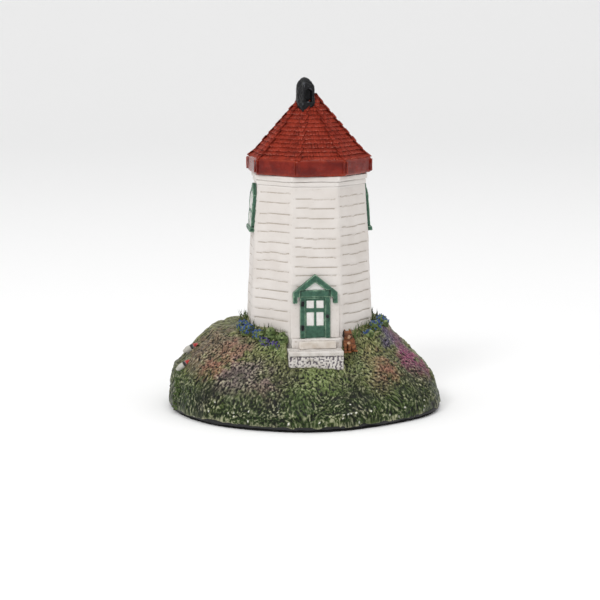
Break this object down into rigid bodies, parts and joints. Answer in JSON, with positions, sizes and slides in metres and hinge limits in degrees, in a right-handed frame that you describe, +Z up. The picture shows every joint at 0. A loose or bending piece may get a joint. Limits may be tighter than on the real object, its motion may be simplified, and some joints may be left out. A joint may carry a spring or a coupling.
{
  "type": "souvenir lighthouse figurine",
  "caption": "Hand-painted cast souvenir of an eight-sided clapboard lighthouse with a red shingled roof, standing on a flowery mound with steps, a seated cat and small net floats.",
  "frame": {"origin": "on the tower's axis at the underside of the felt pad", "axes": "+Z up the tower's axis, door faces -Y, steps on the -Y side, X to the right when facing the door"},
  "size_m": [0.0952, 0.096, 0.1143],
  "materials": {
    "painted_grass": "matte acrylic on cast resin, dry-brushed",
    "black_edge": "satin black paint on cast resin",
    "felt": "felt",
    "white_paint": "satin white paint with a beige wash",
    "gloss_red": "glossy varnish over red paint",
    "roof_red": "matte brick-red paint, dry-brushed",
    "black_paint": "matte black paint, dry-brushed grey",
    "green_paint": "satin green paint",
    "pane_white": "satin white paint",
    "stone_paint": "white paint with a grey-tan wash",
    "ginger_paint": "matte ginger paint with dark marks",
    "buoy_paint": "white paint with a black band and a red end",
    "leaf_green": "matte leaf-green paint",
    "flower_blue": "matte blue paint",
    "flower_purple": "matte purple paint"
  },
  "bodies": {
    "root": {"felt_pad": "felt", "base_rim": "black_edge", "mound": "painted_grass", "tower_body": "white_paint", "corner_boards": "white_paint", "bed_moulding": "white_paint", "tower_cornice": "white_paint", "roof_fascia": "gloss_red", "fascia_straps": "gloss_red", "roof_shell": "roof_red", "roof_vent": "black_paint", "left_window_frame": "green_paint", "left_window_panes": "pane_white", "right_window_frame": "green_paint", "right_window_panes": "pane_white", "door_leaf": "green_paint", "door_panes": "pane_white", "door_frame": "green_paint", "door_casing": "white_paint", "door_hinges": "black_paint", "door_knob": "black_paint", "door_hood": "green_paint", "hood_panel": "pane_white", "door_landing": "stone_paint", "upper_step": "stone_paint", "lower_step": "stone_paint", "cat": "ginger_paint", "upper_buoy": "buoy_paint", "lower_buoy": "buoy_paint", "blue_flowers_left": "flower_blue", "purple_flowers_left": "flower_purple", "door_shrubs": "leaf_green", "blue_flowers_right": "flower_blue", "grass_blades": "leaf_green"}
  },
  "joints": []
}
